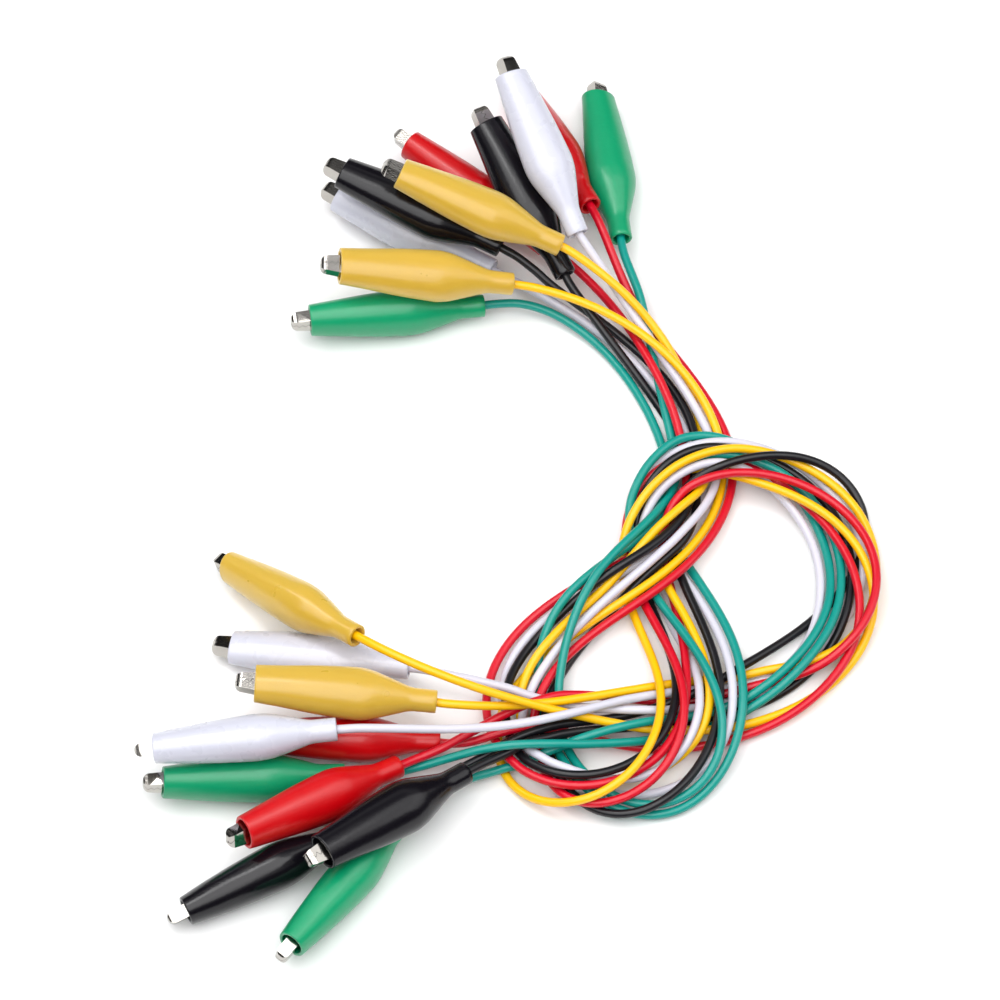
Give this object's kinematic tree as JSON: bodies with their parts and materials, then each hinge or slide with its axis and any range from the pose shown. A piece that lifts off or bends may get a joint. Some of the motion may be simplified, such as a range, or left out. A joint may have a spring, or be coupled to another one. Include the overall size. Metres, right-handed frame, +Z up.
{
  "type": "alligator clip test lead set",
  "caption": "Knotted bunch of flexible jumper leads, each with a sprung alligator clip in a coloured soft boot at both ends",
  "frame": {"origin": "centre of the bounding box footprint, on the surface the leads rest on", "axes": "+Z up; +X to the right along the folded bundle, from the clips towards its far loop; +Y away from the viewer, from the lower clip group to the upper one"},
  "size_m": [0.1464, 0.2041, 0.0308],
  "materials": {
    "green_boot": "satin",
    "red_boot": "satin",
    "black_boot": "gloss",
    "white_boot": "gloss",
    "yellow_boot": "translucent satin",
    "green_jacket": "satin",
    "red_jacket": "satin",
    "black_jacket": "satin",
    "white_jacket": "satin",
    "yellow_jacket": "satin",
    "jaw_plate": "bright nickel plate",
    "rivet_steel": "plated",
    "spring_steel": "bright drawn",
    "copper": "stranded copper, lightly tinned",
    "solder": "dull"
  },
  "bodies": {
    "leads": {"yellow_1_jacket": "yellow_jacket", "yellow_1_boots": "yellow_boot", "yellow_1_fixed_jaws": "jaw_plate", "yellow_2_jacket": "yellow_jacket", "yellow_2_boots": "yellow_boot", "yellow_2_fixed_jaws": "jaw_plate", "green_1_jacket": "green_jacket", "green_1_boots": "green_boot", "green_1_fixed_jaws": "jaw_plate", "green_2_jacket": "green_jacket", "green_2_boots": "green_boot", "green_2_fixed_jaws": "jaw_plate", "red_1_jacket": "red_jacket", "red_1_boots": "red_boot", "red_1_fixed_jaws": "jaw_plate", "red_2_jacket": "red_jacket", "red_2_boots": "red_boot", "red_2_fixed_jaws": "jaw_plate", "black_1_jacket": "black_jacket", "black_1_boots": "black_boot", "black_1_fixed_jaws": "jaw_plate", "black_2_jacket": "black_jacket", "black_2_boots": "black_boot", "black_2_fixed_jaws": "jaw_plate", "white_1_jacket": "white_jacket", "white_1_boots": "white_boot", "white_1_fixed_jaws": "jaw_plate", "white_2_jacket": "white_jacket", "white_2_boots": "white_boot", "white_2_fixed_jaws": "jaw_plate", "yellow_conductors": "copper", "green_conductors": "copper", "red_conductors": "copper", "black_conductors": "copper", "white_conductors": "copper", "pivot_rivets": "rivet_steel", "torsion_springs": "spring_steel", "solder_joints": "solder"},
    "yellow_1_jaw_a": {"yellow_1_moving_jaw_a": "jaw_plate"},
    "yellow_1_jaw_b": {"yellow_1_moving_jaw_b": "jaw_plate"},
    "yellow_2_jaw_a": {"yellow_2_moving_jaw_a": "jaw_plate"},
    "yellow_2_jaw_b": {"yellow_2_moving_jaw_b": "jaw_plate"},
    "green_1_jaw_a": {"green_1_moving_jaw_a": "jaw_plate"},
    "green_1_jaw_b": {"green_1_moving_jaw_b": "jaw_plate"},
    "green_2_jaw_a": {"green_2_moving_jaw_a": "jaw_plate"},
    "green_2_jaw_b": {"green_2_moving_jaw_b": "jaw_plate"},
    "red_1_jaw_a": {"red_1_moving_jaw_a": "jaw_plate"},
    "red_1_jaw_b": {"red_1_moving_jaw_b": "jaw_plate"},
    "red_2_jaw_a": {"red_2_moving_jaw_a": "jaw_plate"},
    "red_2_jaw_b": {"red_2_moving_jaw_b": "jaw_plate"},
    "black_1_jaw_a": {"black_1_moving_jaw_a": "jaw_plate"},
    "black_1_jaw_b": {"black_1_moving_jaw_b": "jaw_plate"},
    "black_2_jaw_a": {"black_2_moving_jaw_a": "jaw_plate"},
    "black_2_jaw_b": {"black_2_moving_jaw_b": "jaw_plate"},
    "white_1_jaw_a": {"white_1_moving_jaw_a": "jaw_plate"},
    "white_1_jaw_b": {"white_1_moving_jaw_b": "jaw_plate"},
    "white_2_jaw_a": {"white_2_moving_jaw_a": "jaw_plate"},
    "white_2_jaw_b": {"white_2_moving_jaw_b": "jaw_plate"}
  },
  "joints": [
    {"name": "yellow_1_hinge_a", "type": "hinge", "parent": "leads", "child": "yellow_1_jaw_a", "pos_m": [-0.01286, 0.06092, 0.02301], "axis": [0.3817, 0.3962, 0.835], "range_deg": [0, 20], "deforming": ["yellow_1_boots", "torsion_springs"]},
    {"name": "yellow_1_hinge_b", "type": "hinge", "parent": "leads", "child": "yellow_1_jaw_b", "pos_m": [-0.0482, -0.0211, 0.00806], "axis": [0.6488, 0.761, 0], "range_deg": [0, 20], "deforming": ["yellow_1_boots", "torsion_springs"]},
    {"name": "yellow_2_hinge_a", "type": "hinge", "parent": "leads", "child": "yellow_2_jaw_a", "pos_m": [-0.02431, 0.04723, 0.01586], "axis": [-0.1959, 0.1735, -0.9652], "range_deg": [0, 20], "deforming": ["yellow_2_boots", "torsion_springs"]},
    {"name": "yellow_2_hinge_b", "type": "hinge", "parent": "leads", "child": "yellow_2_jaw_b", "pos_m": [-0.03959, -0.04696, 0.01425], "axis": [-0.0527, 0.0918, -0.9944], "range_deg": [0, 20], "deforming": ["yellow_2_boots", "torsion_springs"]},
    {"name": "green_1_hinge_a", "type": "hinge", "parent": "leads", "child": "green_1_jaw_a", "pos_m": [-0.03032, 0.04263, 0.00609], "axis": [-0.1433, 0.9897, 0], "range_deg": [0, 20], "deforming": ["green_1_boots", "torsion_springs"]},
    {"name": "green_1_hinge_b", "type": "hinge", "parent": "leads", "child": "green_1_jaw_b", "pos_m": [-0.05751, -0.06269, 0.006], "axis": [0.0803, -0.9968, 0], "range_deg": [0, 20], "deforming": ["green_1_boots", "torsion_springs"]},
    {"name": "green_2_hinge_a", "type": "hinge", "parent": "leads", "child": "green_2_jaw_a", "pos_m": [0.01921, 0.08577, 0.0045], "axis": [0.6328, 0.1197, 0.765], "range_deg": [0, 20], "deforming": ["green_2_boots", "torsion_springs"]},
    {"name": "green_2_hinge_b", "type": "hinge", "parent": "leads", "child": "green_2_jaw_b", "pos_m": [-0.03612, -0.0902, 0.00606], "axis": [-0.7786, 0.6032, 0.1732], "range_deg": [0, 20], "deforming": ["green_2_boots", "torsion_springs"]},
    {"name": "red_1_hinge_a", "type": "hinge", "parent": "leads", "child": "red_1_jaw_a", "pos_m": [-0.01256, 0.07602, 0.00658], "axis": [0.6257, 0.7608, 0.1724], "range_deg": [0, 20], "deforming": ["red_1_boots", "torsion_springs"]},
    {"name": "red_1_hinge_b", "type": "hinge", "parent": "leads", "child": "red_1_jaw_b", "pos_m": [-0.04291, -0.07267, 0.01161], "axis": [-0.5563, 0.7607, -0.3343], "range_deg": [0, 20], "deforming": ["red_1_boots", "torsion_springs"]},
    {"name": "red_2_hinge_a", "type": "hinge", "parent": "leads", "child": "red_2_jaw_a", "pos_m": [0.00588, 0.08892, 0.00543], "axis": [0.8846, 0.4338, 0.1711], "range_deg": [0, 20], "deforming": ["red_2_boots", "torsion_springs"]},
    {"name": "red_2_hinge_b", "type": "hinge", "parent": "leads", "child": "red_2_jaw_b", "pos_m": [-0.03911, -0.05332, 0.00597], "axis": [-0.0215, -0.9398, -0.3411], "range_deg": [0, 20], "deforming": ["red_2_boots", "torsion_springs"]},
    {"name": "black_1_hinge_a", "type": "hinge", "parent": "leads", "child": "black_1_jaw_a", "pos_m": [-0.02478, 0.06543, 0.01591], "axis": [0.257, 0.1713, 0.9511], "range_deg": [0, 20], "deforming": ["black_1_boots", "torsion_springs"]},
    {"name": "black_1_hinge_b", "type": "hinge", "parent": "leads", "child": "black_1_jaw_b", "pos_m": [-0.02831, -0.07709, 0.01369], "axis": [-0.3705, 0.1465, -0.9172], "range_deg": [0, 20], "deforming": ["black_1_boots", "torsion_springs"]},
    {"name": "black_2_hinge_a", "type": "hinge", "parent": "leads", "child": "black_2_jaw_a", "pos_m": [-0.00044, 0.07237, 0.01456], "axis": [-0.2712, 0.1399, -0.9523], "range_deg": [0, 20], "deforming": ["black_2_boots", "torsion_springs"]},
    {"name": "black_2_hinge_b", "type": "hinge", "parent": "leads", "child": "black_2_jaw_b", "pos_m": [-0.05365, -0.08532, 0.00482], "axis": [-0.4499, 0.8252, 0.3415], "range_deg": [0, 20], "deforming": ["black_2_boots", "torsion_springs"]},
    {"name": "white_1_hinge_a", "type": "hinge", "parent": "leads", "child": "white_1_jaw_a", "pos_m": [0.00383, 0.07747, 0.02438], "axis": [0.5724, -0.0588, 0.8179], "range_deg": [0, 20], "deforming": ["white_1_boots", "torsion_springs"]},
    {"name": "white_1_hinge_b", "type": "hinge", "parent": "leads", "child": "white_1_jaw_b", "pos_m": [-0.05889, -0.05892, 0.01458], "axis": [-0.1045, 0.86, 0.4995], "range_deg": [0, 20], "deforming": ["white_1_boots", "torsion_springs"]},
    {"name": "white_2_hinge_a", "type": "hinge", "parent": "leads", "child": "white_2_jaw_a", "pos_m": [-0.02587, 0.06651, 0.00508], "axis": [0.1541, 0.2111, 0.9652], "range_deg": [0, 20], "deforming": ["white_2_boots", "torsion_springs"]},
    {"name": "white_2_hinge_b", "type": "hinge", "parent": "leads", "child": "white_2_jaw_b", "pos_m": [-0.04485, -0.03377, 0.00428], "axis": [0.0055, 0.3456, 0.9384], "range_deg": [0, 20], "deforming": ["white_2_boots", "torsion_springs"]}
  ]
}
